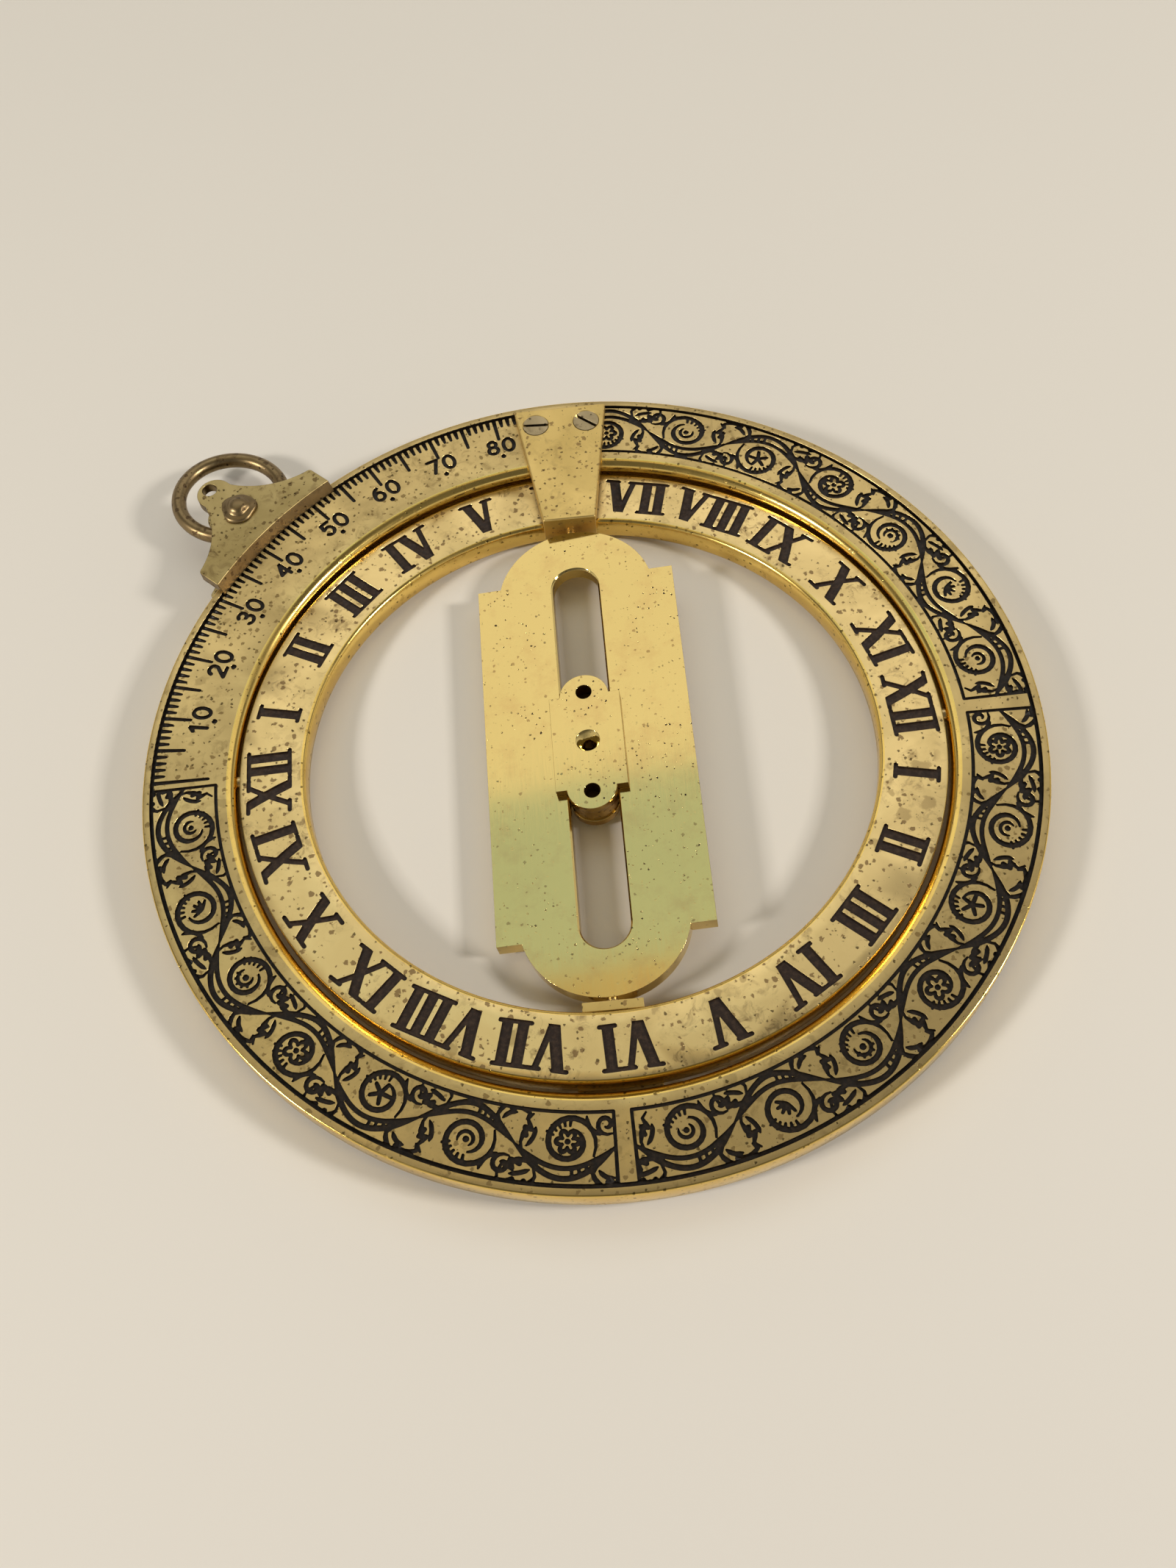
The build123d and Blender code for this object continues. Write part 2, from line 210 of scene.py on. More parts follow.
camera.location = MM * (
    Vector((0, 0, ring_top))
    - right * dial_off_centre[0]
    - down * dial_off_centre[1]
    - ahead * camera_distance
)
bpy.context.scene.camera = camera
bpy.context.scene.view_settings.view_transform = "Standard"

world = bpy.data.worlds.new("room")
bpy.context.scene.world = world
world.use_nodes = True
# the room's walls are paler than its dim ceiling
room = world.node_tree
sky = room.nodes.new("ShaderNodeTexCoord")
split = room.nodes.new("ShaderNodeSeparateXYZ")
walls = room.nodes.new("ShaderNodeValToRGB")
room.links.new(sky.outputs["Generated"], split.inputs["Vector"])
room.links.new(split.outputs["Z"], walls.inputs["Fac"])
room.links.new(walls.outputs["Color"], room.nodes["Background"].inputs["Color"])
for element, spot, grey in zip(walls.color_ramp.elements, (0.28, 0.50), (0.62, 0.13)):
    element.position = spot
    element.color = (grey, 0.95 * grey, 0.87 * grey, 1)
# name, place and what it is aimed at in mm, width and depth in mm, watts, colour
for name, spot, aim, size, power, colour in (
    ("ceiling_panel", (60, 620, 700), (60, 620, 0), (1200, 640), 2.1, (1.0, 0.96, 0.88)),
    ("left_light", (-520, -200, 400), (0, 0, 0), (110, 110), 2.15, (1.0, 0.95, 0.89)),
    ("right_light", (540, -120, 400), (0, 0, 0), (110, 110), 2.15, (1.0, 0.95, 0.89)),
):
    lamp_data = bpy.data.lights.new(name, "AREA")
    lamp_data.shape = "RECTANGLE"
    lamp_data.size, lamp_data.size_y = size[0] * MM, size[1] * MM
    lamp_data.energy = power
    lamp_data.color = colour
    lamp = bpy.data.objects.new(name, lamp_data)
    lamp.location = Vector(spot) * MM
    lamp.rotation_euler = (Vector(aim) - Vector(spot)).to_track_quat("-Z", "Y").to_euler()
    bpy.context.scene.collection.objects.link(lamp)

# two cards over the dial, which stand in for the room that the polished plates mirror: each has
# its sides in mm and the two colours that it is clouded with
card_height = 600.0
for name, west, east, south, north, shade, other in (
    ("cool_card", -360, 60, 215, 330, (0.45, 0.60, 0.64), (0.52, 0.66, 0.68)),
    ("warm_card", -360, 60, 20, 215, (0.34, 0.27, 0.15), (0.74, 0.62, 0.40)),
):
    card_mesh = bpy.data.meshes.new(name)
    card_corners = ((west, south), (east, south), (east, north), (west, north))
    card_mesh.from_pydata(
        [(x * MM, y * MM, card_height * MM) for x, y in card_corners], [], [(0, 1, 2, 3)]
    )
    glow = Nodes(name + "_glow")
    card_mesh.materials.append(
        glow.finish(
            Base_Color=(0.1, 0.1, 0.1),
            Emission_Color=glow.blend(glow.noise(90.0, detail=2.0), shade, other),
            Emission_Strength=1.0,
        )
    )
    card = bpy.data.objects.new(name, card_mesh)
    card.visible_camera = False
    card.visible_shadow = False
    bpy.context.scene.collection.objects.link(card)

# ---- Meridian ring ----
# A flat ring turned from brass plate. Its front is deep-etched with a latitude scale in one
# quadrant and the same scroll panel in the other three, and the cuts are filled with dark enamel.
ring_rim = 52.5
ring_bore = 41.6
ring_edge_round = 0.22
bore_flare = 1.05  # the bore's rounded mouth is this much wider on the face
slot_middle = 51.4  # the slot near the rim that the shackle's lips ride in, on both faces
slot_width = 0.5
slot_depth = 0.5
cut_depth = 0.26
ring_steps = 360
GRAIN = 0.06  # mm between the points at which a cut's edge is worked out
CUT_SLACK = 0.009  # mm that a cut's edge may stray when its points are thinned out


class Cuts:
    """All the cuts in one ring's face, as the distance to the nearest cut's edge.

    The face is unrolled: x is mm round the ring at its middle radius, y is mm from the centre.
    """

    def __init__(self, low, high, middle):
        self.low, self.middle = low, middle
        self.around = 360 * round(2 * pi * middle / 360 / GRAIN)
        self.pitch = 2 * pi * middle / self.around
        self.across = int((high - low) / GRAIN) + 1
        self.field = np.full((self.around, self.across), 1.0)

    def window(self, xs, ys, reach):
        """The grid points within reach of some places, as numbers and in mm."""
        first = floor((min(xs) - reach) / self.pitch)
        last = ceil((max(xs) + reach) / self.pitch)
        bottom = max(0, floor((min(ys) - reach - self.low) / GRAIN))
        top = min(self.across, ceil((max(ys) + reach - self.low) / GRAIN) + 1)
        columns, rows = np.arange(first, last + 1), np.arange(bottom, top)
        return columns, rows, columns[:, None] * self.pitch, self.low + rows[None, :] * GRAIN

    def sink(self, columns, rows, distance):
        spot = np.ix_(columns % self.around, rows)
        self.field[spot] = np.minimum(self.field[spot], distance)

    def stroke(self, points, widths):
        """A line cut with a round tool, whose width may change from point to point."""
        if not hasattr(widths, "__len__"):
            widths = [widths] * len(points)
        for (ax, ay), (bx, by), wa, wb in zip(points, points[1:], widths, widths[1:]):
            columns, rows, x, y = self.window((ax, bx), (ay, by), max(wa, wb) / 2 + 0.2)
            run = max((bx - ax) ** 2 + (by - ay) ** 2, 1e-9)
            t = np.clip(((x - ax) * (bx - ax) + (y - ay) * (by - ay)) / run, 0, 1)
            away = np.hypot(x - ax - t * (bx - ax), y - ay - t * (by - ay))
            self.sink(columns, rows, away - (wa + (wb - wa) * t) / 2)

    def block(self, corners):
        """A flat-bottomed cut with straight sides, given by its corners."""
        xs, ys = zip(*corners)
        columns, rows, x, y = self.window(xs, ys, 0.2)
        edges = list(zip(corners, corners[1:] + corners[:1]))
        way = 1 if sum(ax * by - ay * bx for (ax, ay), (bx, by) in edges) < 0 else -1
        distance = np.full((len(columns), len(rows)), -9.0)
        for (ax, ay), (bx, by) in edges:
            side = ((x - ax) * (ay - by) + (y - ay) * (bx - ax)) / hypot(bx - ax, by - ay)
            distance = np.maximum(distance, way * side)
        self.sink(columns, rows, distance)

    def outlines(self):
        """The cuts' edges as closed loops of flat points, in mm on the ring's face."""
        f = self.field
        beyond = np.roll(f, -1, axis=0)
        with np.errstate(divide="ignore", invalid="ignore"):
            share_x = f / (f - beyond)
            share_y = f[:, :-1] / (f[:, :-1] - f[:, 1:])
        here, there = f < 0, beyond < 0
        kind = here[:, :-1] + 2 * there[:, :-1] + 4 * there[:, 1:] + 8 * here[:, 1:]
        # which sides of a square the edge goes in and out by: 0 bottom, 1 right, 2 top, 3 left
        moves = (
            [],
            [(0, 3)],
            [(1, 0)],
            [(1, 3)],
            [(2, 1)],
            [(0, 3), (2, 1)],
            [(2, 0)],
            [(2, 3)],
            [(3, 2)],
            [(0, 2)],
            [(1, 0), (3, 2)],
            [(1, 2)],
            [(3, 1)],
            [(0, 1)],
            [(3, 0)],
        )
        follows = {}
        for i, j in np.argwhere((kind > 0) & (kind < 15)).tolist():
            sides = (("x", i, j), ("y", (i + 1) % self.around, j), ("x", i, j + 1), ("y", i, j))
            for start, end in moves[int(kind[i, j])]:
                follows[sides[start]] = sides[end]
        loops = []
        while follows:
            start, spot = follows.popitem()
            loop = [start]
            while spot != start:
                loop.append(spot)
                spot = follows.pop(spot)
            flat = []
            for way, i, j in loop:
                x, y = (i + share_x[i, j], j) if way == "x" else (i, j + share_y[i, j])
                turn, out = x * self.pitch / self.middle, self.low + y * GRAIN
                flat.append((out * cos(turn), out * sin(turn)))
            loops.append(np.array(flat))
        return loops

    def outward(self, flat):
        """Which way the nearest cut's edge faces, at flat points on the ring's face."""
        turn = np.arctan2(flat[:, 1], flat[:, 0])
        out = np.hypot(flat[:, 0], flat[:, 1])
        i = np.rint(turn * self.middle / self.pitch).astype(int) % self.around
        j = np.clip(np.rint((out - self.low) / GRAIN).astype(int), 1, self.across - 2)
        gx = self.field[(i + 1) % self.around, j] - self.field[i - 1, j]
        gy = self.field[i, j + 1] - self.field[i, j - 1]
        length = np.maximum(np.hypot(gx, gy), 1e-6)
        gx, gy = gx / length, gy / length
        return np.stack(
            [gy * np.cos(turn) - gx * np.sin(turn), gy * np.sin(turn) + gx * np.cos(turn)], 1
        )


def thinned(loop):
    """A closed loop with no more points than its shape needs."""
    closed = np.vstack([loop, loop[:1]])
    far = int(np.argmax(np.hypot(*(loop - loop[0]).T)))
    keep, todo = {0, far}, [(0, far), (far, len(loop))]
    while todo:
        a, b = todo.pop()
        if b - a < 2:
            continue
        run, off = closed[b] - closed[a], closed[a + 1 : b] - closed[a]
        gap = np.abs(off[:, 0] * run[1] - off[:, 1] * run[0]) / max(hypot(*run), 1e-9)
        worst = int(np.argmax(gap))
        if gap[worst] > CUT_SLACK:
            keep.add(a + 1 + worst)
            todo += [(a, a + 1 + worst), (a + 1 + worst, b)]
    return loop[sorted(keep)]


def circle(radius, steps=ring_steps):
    turns = np.arange(steps) * 2 * pi / steps
    return np.stack([radius * np.cos(turns), radius * np.sin(turns)], 1)


def etched_face(cuts, inner, outer, top, floor_at, step_at=None):
    """A ring's face with its cuts: flat brass on top, a rounded lip, walls and an enamel floor.

    floor_at gives the depth at a distance from the centre, and step_at the distance at which it
    changes. Returns points and (corners, finish) pairs, with finish 0 brass and finish 1 enamel.
    """
    loops = [circle(outer), circle(inner)]
    loops += [loop for loop in map(thinned, cuts.outlines()) if len(loop) > 3]
    corners, rings = [], []
    for loop in loops:
        rings.append(list(range(len(corners), len(corners) + len(loop))))
        ahead_x, ahead_y = np.roll(loop[:, 0], -1), np.roll(loop[:, 1], -1)
        area = np.sum(loop[:, 0] * ahead_y - loop[:, 1] * ahead_x)
        corners.extend(loop if area > 0 else loop[::-1])
    step_edges = []
    if step_at:
        first = len(corners)
        corners.extend(circle(step_at))
        step_edges = [(first + k, first + (k + 1) % ring_steps) for k in range(ring_steps)]
    flat, _, triangles, _, _, within = delaunay_2d_cdt(
        [Vector(c) for c in corners], step_edges, rings, 0, 1e-5
    )
    flat = np.array([tuple(p) for p in flat])
    # a triangle inside an odd number of the cuts' loops is a cut's floor, and one inside the bore
    # is nothing
    cut = [sum(1 for k in w if k > 1) % 2 == 1 for w in within]
    solid = [0 in w and 1 not in w for w in within]
    inwards = -cuts.outward(flat)
    far = np.hypot(flat[:, 0], flat[:, 1])
    depth = np.array([floor_at(r) for r in far])
    lip, draft = 0.02, 0.045  # mm that a cut narrows by over its lip, and down to its floor
    levels = (
        np.column_stack([flat, np.full(len(flat), top)]),
        np.column_stack([flat + inwards * lip, np.full(len(flat), top - lip)]),
        np.column_stack([flat + inwards * draft, top - depth]),
    )
    points, number, faces = [], {}, []

    def corner(level, k):
        if (level, k) not in number:
            number[level, k] = len(points)
            points.append(tuple(levels[level][k]))
        return number[level, k]

    walls = {}
    for triangle, is_cut, is_solid in zip(triangles, cut, solid):
        if not is_solid:
            continue
        faces.append(([corner(2 if is_cut else 0, k) for k in triangle], int(is_cut)))
        for a, b in zip(triangle, triangle[1:] + triangle[:1]):
            walls.setdefault((min(a, b), max(a, b)), []).append((a, b, is_cut))
    for sides in walls.values():
        if len(sides) == 2 and sides[0][2] != sides[1][2]:
            a, b, _ = sides[0] if not sides[0][2] else sides[1]
            for upper, finish in ((0, 0), (1, 1)):
                wall = ((upper, b), (upper, a), (upper + 1, a), (upper + 1, b))
                faces.append(([corner(level, k) for level, k in wall], finish))
    return points, faces


def turned(profile, finishes, steps=ring_steps):
    """Points and faces of a profile of (radius, height) points turned about the Z axis."""
    points = [(x, y, z) for r, z in profile for x, y in circle(r, steps)]
    faces = []
    for k, finish in enumerate(finishes):
        for s in range(steps):
            t = (s + 1) % steps
            low, high = k * steps, (k + 1) * steps
            faces.append(([low + s, low + t, high + t, high + s], finish))
    return points, faces


def piece_from(name, parts, materials, tilt=0.0, sharp=32):
    """One object from lists of points and faces in mm, welded where their borders meet."""
    shape = bmesh.new()
    for points, faces in parts:
        corners = [shape.verts.new(Vector(p) * MM) for p in points]
        for face, finish in faces:
            made = shape.faces.new([corners[k] for k in face])
            made.material_index = finish
            made.smooth = True
    bmesh.ops.remove_doubles(shape, verts=shape.verts, dist=0.0002 * MM)
    bmesh.ops.rotate(shape, verts=shape.verts, matrix=Matrix.Rotation(radians(tilt), 3, "X"))
    bmesh.ops.recalc_face_normals(shape, faces=shape.faces)
    mesh = bpy.data.meshes.new(name)
    shape.to_mesh(mesh)
    shape.free()
    mesh.set_sharp_from_angle(angle=radians(sharp))
    for material in materials:
        mesh.materials.append(material)
    piece = bpy.data.objects.new(name, mesh)
    bpy.context.scene.collection.objects.link(piece)
    return piece


ring_middle = 47.0
ring_cuts = Cuts(43.0, 52.2, ring_middle)

# the slot at the rim, cut with the etching, so its walls and floor are coloured near black like
# the enamel: painted shade in the groove
ring_cuts.stroke([(radians(a) * ring_middle, slot_middle) for a in range(361)], slot_width)

# latitude scale: 0 to 90 runs from the west point up to the front tab, a tick at each degree
tick_width = 0.50
tick_neck = 50.7  # where a tick stops narrowing from the slot
zero_tick_end, fives_end, ones_end = 44.8, 48.0, 50.05
for latitude in range(0, 90):
    tick_x = radians(180 - latitude) * ring_cuts.middle
    tick_end = zero_tick_end if latitude == 0 else fives_end if latitude % 5 == 0 else ones_end
    foot = tick_width * (0.72 if latitude % 5 else 0.9)
    ring_cuts.stroke(
        [(tick_x, slot_middle), (tick_x, tick_neck), (tick_x, tick_end)],
        [tick_width * 1.15, tick_width, foot],
    )


def arc(middle_x, middle_y, across, up, start, end, steps=10):
    """Points of part of an ellipse, from one angle to another in degrees."""
    turns = [radians(start + (end - start) * k / steps) for k in range(steps + 1)]
    return [(middle_x + across * cos(t), middle_y + up * sin(t)) for t in turns]


digits = {  # each digit's strokes, in mm from its middle
    "0": [arc(0, 0, 0.62, 0.95, 0, 360, 20)],
    "1": [[(-0.38, 0.55), (0.08, 0.95), (0.08, -0.95)]],
    "2": [arc(0, 0.4, 0.56, 0.55, 165, -35) + [(-0.58, -0.93), (0.64, -0.93)]],
    "3": [arc(-0.02, 0.47, 0.5, 0.47, 150, -90), arc(-0.02, -0.46, 0.58, 0.5, 90, -150)],
    "4": [[(0.3, -0.95), (0.3, 0.95), (-0.62, -0.38), (0.64, -0.38)]],
    "5": [[(0.52, 0.93), (-0.4, 0.93), (-0.46, 0.12)] + arc(-0.02, -0.32, 0.58, 0.6, 118, -145)],
    "6": [arc(0, -0.35, 0.56, 0.6, 0, 360, 16), arc(0.35, -0.3, 0.9, 1.25, 178, 100, 6)],
    "7": [[(-0.58, 0.93), (0.58, 0.93), (-0.16, -0.95)]],
    "8": [arc(0, 0.48, 0.46, 0.45, 0, 360, 14), arc(0, -0.45, 0.57, 0.52, 0, 360, 14)],
}
digit_stroke = 0.54
digit_size = 1.1
digit_half_gap = 1.06  # from a pair's middle to each digit's
digit_line = 46.8  # the digits' middles, from the centre
dot_line, dot_width = 45.05, 0.72


def facing_out(cuts, angle, out, points):
    """Unrolls a figure's flat points, its top outwards and its middle at a place on the ring."""
    return [
        (cuts.middle * (radians(angle) - np.arctan2(x, out + y)), hypot(x, out + y))
        for x, y in points
    ]


for latitude in range(10, 90, 10):
    angle = 180 - latitude
    for digit, way in zip(str(latitude), (-1, 1)):
        for line in digits[digit]:
            shifted = [(digit_size * x + way * digit_half_gap, digit_size * y) for x, y in line]
            ring_cuts.stroke(facing_out(ring_cuts, angle, digit_line, shifted), digit_stroke)
    ring_cuts.stroke(facing_out(ring_cuts, angle, dot_line, [(0, 0.01), (0, -0.01)]), dot_width)

# scroll panel, drawn once and turned to three quadrants: a running stem that waves between its
# frames, with a volute in each bend
panel_low, panel_high = 43.85, 51.15
panel_inset = 1.2  # degrees from the quadrant's end to the panel's frame
panel_length = radians(90 - 2 * panel_inset) * ring_cuts.middle
panel_height = panel_high - panel_low
panel = Cuts(ring_cuts.low, 52.2, ring_cuts.middle)
petal_line = 0.476
frame_line = 0.42
bends = 7
bend_length = panel_length / bends


def incise(line, width, swell=True):
    """Cuts one line of the panel; a graver's line is thinner at its ends."""
    count = len(line)
    fullness = [min(1, 1.6 * sin(pi * (k + 0.5) / count)) for k in range(count)]
    widths = [width * (0.45 + 0.65 * full) for full in fullness]
    start = radians(panel_inset) * panel.middle
    panel.stroke([(start + a, panel_low + b) for a, b in line], widths if swell else width)


def spiral(a, b, radius, start, turns, eye, steps=26):
    """A volute drawn from its outside in, down to eye of its radius."""
    turn = [radians(start + 360 * turns * k / steps) for k in range(steps + 1)]
    size = [radius * (1 - (1 - eye) * (k / steps) ** 0.85) for k in range(steps + 1)]
    return [(a + r * cos(t), b + r * sin(t)) for r, t in zip(size, turn)]


def bow(start, end, bulge, steps=12):
    """A line bent to its left by a share of its length."""
    (a, b), (c, d) = start, end
    peak = ((a + c) / 2 - (d - b) * 2 * bulge, (b + d) / 2 + (c - a) * 2 * bulge)
    shares = [k / steps for k in range(steps + 1)]
    return [
        (
            (1 - t) ** 2 * a + 2 * t * (1 - t) * peak[0] + t * t * c,
            (1 - t) ** 2 * b + 2 * t * (1 - t) * peak[1] + t * t * d,
        )
        for t in shares
    ]


def leaf(start, end, bulge, width, lobes, sides=(1, -1)):
    """A leaf's lines: pointed lobes that sweep forwards from a bent rib, and the rib."""
    steps = 14 * lobes
    rib = bow(start, end, bulge, steps)

    def beside(along, away):
        k = max(1, min(steps - 1, round(along * steps)))
        (a1, b1), (a2, b2) = rib[k - 1], rib[k + 1]
        run = hypot(a2 - a1, b2 - b1)
        return (rib[k][0] - (b2 - b1) / run * away, rib[k][1] + (a2 - a1) / run * away)

    lines = [(rib[int(steps * 0.12) : int(steps * 0.7)], 0.50)]
    for side in sides:
        edge = [start]
        for lobe in range(lobes):
            full = width / 2 * sin(pi * (0.38 + 0.42 * lobe / max(1, lobes - 1)))
            for t in (0, 0.25, 0.5, 0.75, 1):
                along = 0.06 + (lobe + 1.25 * t) / lobes * 0.80
                edge.append(beside(along, side * full * (0.62 + 0.38 * sin(t * pi / 2))))
        lines.append((edge + [end], 0.52))
    return lines


def flower(a, b, radius, petals, start):
    """A seed with round-ended petals about it."""
    lines = [([(a - 0.01, b), (a + 0.01, b)], radius * 0.5)]
    for k in range(petals):
        middle = radians(start) + 2 * pi * k / petals
        petal = []
        for step in range(-5, 6):
            out = radius * (0.46 + 0.54 * cos(step / 5 * pi / 2) ** 0.6)
            turn = middle + step / 5 * pi / petals * 0.86
            petal.append((a + out * cos(turn), b + out * sin(turn)))
        lines.append((petal, petal_line))
    return lines


def rays(a, b, inner, outer, first, last, count, width=0.36):
    """Short cuts fanned round a spot, which shade one side of a curl."""
    turns = [radians(first + (last - first) * k / (count - 1)) for k in range(count)]
    reaches = (inner, (inner + outer) / 2, outer)
    return [([(a + r * cos(t), b + r * sin(t)) for r in reaches], width) for t in turns]


def bud(a, b, size):
    """A small round seed with a hooked husk."""
    husk = spiral(a, b, size * 1.35, 200, -0.7, eye=0.8, steps=12)
    return [([(a - 0.01, b), (a + 0.01, b)], size), (husk, 0.42)]


def bend(number, heart):
    """One bend of the scroll, its arch up or down in turn, with heart's lines in its volute."""
    way = 1 if number % 2 == 0 else -1
    half = bend_length / 2
    lines = []
    for rise, width in ((3.2, 0.60), (2.15, 0.52)):  # the stem's two lines
        across = np.linspace(-half, half, 25)
        lines.append(([(x, rise * cos(pi * x / bend_length)) for x in across], width))
    lines.append((spiral(0.35, -0.62, 2.95, 30, -1.28, eye=0.44), 0.60))
    lines += rays(0.3, -0.5, 1.75, 2.5, 205, 275, 5)
    for x in (0.8, 1.5, 2.2, 2.9):  # short cuts across the stem, which shade it
        arch = cos(pi * x / bend_length)
        lines.append(([(x, 3.05 * arch), (x * 0.985, 2.3 * arch)], 0.34))
    # a leaf on each shoulder, one behind the volute, and a tendril under the foot
    lines += leaf((-2.9, 2.3), (-6.3, 3.1), -0.10, 3.0, 3)
    lines += leaf((3.2, 2.0), (6.0, 2.6), 0.30, 2.3, 2, sides=(1,))
    lines += leaf((-4.3, 0.5), (-3.6, -3.2), 0.20, 2.4, 3, sides=(-1,))
    lines.append((spiral(4.25, -2.35, 1.15, 60, 1.15, eye=0.25, steps=16), 0.5))
    lines.append((bow((2.2, -3.2), (3.6, -1.3), 0.16), 0.5))
    lines += heart
    for points, width in lines:
        place = [((number + 0.5) * bend_length + x, panel_height / 2 + way * y) for x, y in points]
        incise(place, width)


hearts = (
    bud(0.2, -0.6, 0.62),
    rays(0.5, -0.2, 0.1, 1.1, 150, 290, 5, 0.42),
    bud(0.2, -0.55, 0.72) + rays(0.2, -0.5, 0.75, 1.1, 20, 160, 5),
    flower(0.25, -0.6, 1.25, 5, 10),
    rays(0.3, -0.7, 0.25, 1.15, 0, 288, 5, 0.5),
    bud(0.25, -0.6, 0.66),
    flower(0.25, -0.6, 1.2, 6, 0),
)
for number, heart in enumerate(hearts):
    bend(number, heart)

# nothing runs over the frame, which is cut last
rows = panel.low + np.arange(panel.across) * GRAIN
columns = np.degrees(np.arange(panel.around) * panel.pitch / panel.middle)
panel.field[:, (rows < panel_low) | (rows > panel_high)] = 1.0
panel.field[(columns < panel_inset) | (columns > 90 - panel_inset)] = 1.0
for start, end in (
    ((0, 0), (panel_length, 0)),
    ((0, 0), (0, panel_height)),
    ((panel_length, 0), (panel_length, panel_height)),
):
    steps = 30
    run_x, run_y = end[0] - start[0], end[1] - start[1]
    side = [(start[0] + run_x * k / steps, start[1] + run_y * k / steps) for k in range(steps + 1)]
    incise(side, frame_line, swell=False)
for quadrant in (0, 2, 3):
    turned_panel = np.roll(panel.field, quadrant * panel.around // 4, axis=0)
    ring_cuts.field = np.minimum(ring_cuts.field, turned_panel)


def worn_brass(
    name, bright, dull, stain, blotches=0.5, specks=0.75, pits=0.8, roughness=0.36, grain=0.3
):
    """Brass that has been handled: tarnish, grey-brown blotches, brown specks and dark pits."""
    nodes = Nodes(name)
    clouds = nodes.ramp(nodes.noise(9.0, detail=5.0, twist=0.6), ((0.36, 0.0), (0.66, 1.0)))
    colour = nodes.blend(clouds, bright, dull)
    patches = nodes.ramp(nodes.noise(7.0, detail=3.0), ((0.42, 0.0), (0.62, 1.0)))
    mottling = nodes.noise(1.5, detail=7.0, rough=0.7, twist=0.8)
    stains = nodes.ramp(mottling, ((0.50, 0.0), (0.66, blotches)))
    colour = nodes.blend(nodes.blend(1.0, stains, patches, "MULTIPLY"), colour, stain)
    rings = nodes.ramp(nodes.spots(3.2, 2.3, few=2.0), ((0.0, 0.0), (1.0, blotches)))
    colour = nodes.blend(rings, colour, tuple(0.5 * (c + d) for c, d in zip(stain, dull)))
    brown = nodes.ramp(nodes.spots(0.8, 0.75, few=2.2), ((0.0, 0.0), (1.0, specks)))
    colour = nodes.blend(brown, colour, stain)
    dots = nodes.ramp(nodes.spots(0.62, 0.42, few=2.0), ((0.0, 0.0), (1.0, pits)))
    colour = nodes.blend(dots, colour, tuple(c * 0.22 for c in stain))
    stretched = nodes.add(
        "ShaderNodeMapping",
        {"Vector": nodes.place, "Scale": (1.0, 0.06, 1.0), "Rotation": (0, 0, 0.5)},
    ).outputs["Vector"]
    scratches = nodes.noise(0.12, detail=2.0, place=stretched)
    uneven = nodes.bump(nodes.noise(1.2, detail=5.0, rough=0.65), 0.010, grain)
    uneven = nodes.bump(scratches, 0.002, 0.4, under=uneven)
    uneven = nodes.bump(nodes.blend(0.5, brown, dots), -0.03, 0.6, under=uneven)
    low, high = roughness - 0.06, roughness + 0.18
    return nodes.finish(
        Base_Color=colour,
        Metallic=1.0,
        Roughness=nodes.ramp(nodes.blend(0.5, clouds, brown), ((0.0, low), (1.0, high))),
        Normal=uneven,
    )


def dark_fill(name, colour, lighter):
    """The enamel in the cuts: nearly black, a little lumpy, with a soft shine."""
    nodes = Nodes(name)
    lumps = nodes.noise(0.5, detail=5.0, rough=0.65)
    return nodes.finish(
        Base_Color=nodes.blend(nodes.ramp(lumps, ((0.45, 0.0), (0.75, 1.0))), colour, lighter),
        Roughness=nodes.ramp(nodes.noise(0.8, detail=3.0), ((0.35, 0.30), (0.65, 0.62))),
        Specular_IOR_Level=0.28,
        Normal=nodes.bump(lumps, 0.05, 0.6),
    )


plate_brass = worn_brass(
    "plate_brass", (0.72, 0.54, 0.23), (0.54, 0.40, 0.17), (0.24, 0.16, 0.06), blotches=0.6
)
black_enamel = dark_fill("black_enamel", (0.008, 0.005, 0.003), (0.03, 0.018, 0.009))
bore_brass = worn_brass(
    "bore_brass",
    (0.86, 0.62, 0.18),
    (0.78, 0.54, 0.15),
    (0.42, 0.25, 0.06),
    blotches=0.25,
    specks=0.4,
    roughness=0.20,
)

face_inner, face_outer = ring_bore + bore_flare, ring_rim - ring_edge_round
slot_step = slot_middle - slot_width / 2 - 0.02  # where shallower cuts run out into the slot
front_face = etched_face(
    ring_cuts,
    face_inner,
    face_outer,
    ring_top,
    lambda r: slot_depth if r > slot_step - 0.01 else cut_depth,
    slot_step,
)
bore_profile = [
    (face_inner, ring_top),
    (ring_bore + 0.68, ring_top - 0.09),
    (ring_bore + 0.3, ring_top - 0.34),
    (ring_bore + 0.08, ring_top - 0.62),
    (ring_bore, ring_top - 0.95),
]



def both_faces(profile):
    """The profile of an edge that is the same at the front and the back, with its finishes."""
    whole = profile + [(r, -z) for r, z in profile[::-1]]
    return whole, [2] * (len(whole) - 1)


bore = turned(*both_faces(bore_profile))
rim_profile = [
    (face_outer, ring_top),
    (ring_rim - 0.11, ring_top - 0.03),
    (ring_rim - 0.03, ring_top - 0.11),
    (ring_rim, ring_top - ring_edge_round),
]
rim = turned(*both_faces(rim_profile))
slot_in, slot_out = slot_middle - slot_width / 2, slot_middle + slot_width / 2
back_profile = [
    (face_inner, -ring_top),
    (slot_in, -ring_top),
    (slot_in, slot_depth - ring_top),
    (slot_out, slot_depth - ring_top),
    (slot_out, -ring_top),
    (face_outer, -ring_top),
]
# the back slot's walls and floor are coloured near black like the enamel: painted shade in the
# groove
back = turned(back_profile, [0, 1, 1, 1, 0])
meridian = piece_from(
    "meridian_ring_etched",
    [front_face, bore, rim, back],
    [plate_brass, black_enamel, bore_brass],
)
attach(meridian, "meridian")
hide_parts("meridian_ring")

